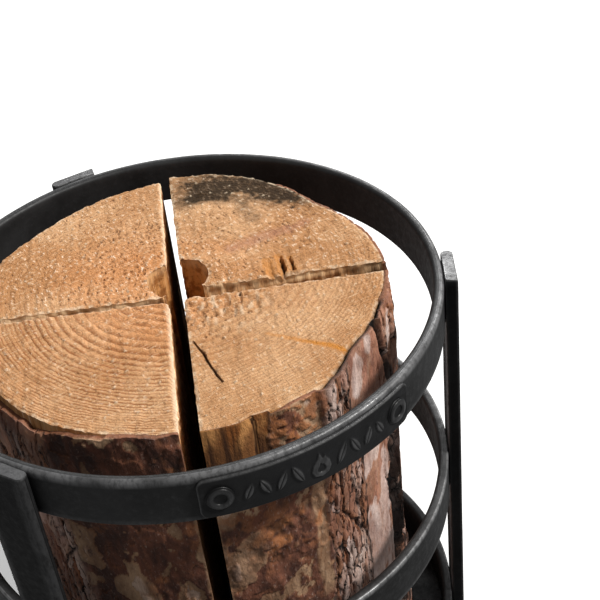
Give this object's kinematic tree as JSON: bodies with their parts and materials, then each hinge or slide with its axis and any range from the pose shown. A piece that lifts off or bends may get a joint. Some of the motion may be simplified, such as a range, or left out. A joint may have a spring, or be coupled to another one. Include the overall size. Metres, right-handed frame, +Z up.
{
  "type": "firewood log rack",
  "caption": "Round steel firewood rack: hoops of flat bar on three upright legs, a round floor, and one upright log cut lengthways into quarters that lift out.",
  "frame": {"origin": "on the ground, under the middle of the rack's own box; the hoops' axis is X = Y = 0", "axes": "+Z up; -Y is the front, where the nameplate is; +X is to the right seen from the front"},
  "size_m": [0.25, 0.2587, 0.305],
  "materials": {
    "hoop_steel": "satin black, hot-rolled texture, edges rubbed grey",
    "upright_steel": "satin black flat bar, sawn ends bright grey",
    "floor_steel": "satin black sheet",
    "plate_steel": "satin black pressed plate, raised ornament rubbed grey",
    "rivet_steel": "satin black, rims rubbed bright",
    "weld_steel": "rippled bead under black paint",
    "pine_wood": "rough chainsaw-cut pine with growth rings",
    "pine_bark": "furrowed red-brown pine bark with grey-pink plates"
  },
  "bodies": {
    "stand": {"hoop_top": "hoop_steel", "hoop_middle": "hoop_steel", "hoop_bottom": "hoop_steel", "upright_right": "upright_steel", "upright_back": "upright_steel", "upright_left": "upright_steel", "floor_plate": "floor_steel", "nameplate": "plate_steel", "rivet_left": "rivet_steel", "rivet_right": "rivet_steel", "weld_top_right": "weld_steel", "weld_top_back": "weld_steel", "weld_top_left": "weld_steel", "weld_middle_right": "weld_steel", "weld_middle_back": "weld_steel", "weld_middle_left": "weld_steel", "weld_bottom_right": "weld_steel", "weld_bottom_back": "weld_steel", "weld_bottom_left": "weld_steel"},
    "quarter_right": {"log_right": "pine_wood", "bark_right": "pine_bark"},
    "quarter_back": {"log_back": "pine_wood", "bark_back": "pine_bark"},
    "quarter_left": {"log_left": "pine_wood", "bark_left": "pine_bark"},
    "quarter_front": {"log_front": "pine_wood", "bark_front": "pine_bark"}
  },
  "joints": [
    {"name": "lift_right", "type": "slide", "parent": "stand", "child": "quarter_right", "axis": [0, 0, 1], "range_m": [0, 0.26]},
    {"name": "lift_back", "type": "slide", "parent": "stand", "child": "quarter_back", "axis": [0, 0, 1], "range_m": [0, 0.26]},
    {"name": "lift_left", "type": "slide", "parent": "stand", "child": "quarter_left", "axis": [0, 0, 1], "range_m": [0, 0.26]},
    {"name": "lift_front", "type": "slide", "parent": "stand", "child": "quarter_front", "axis": [0, 0, 1], "range_m": [0, 0.26]}
  ]
}
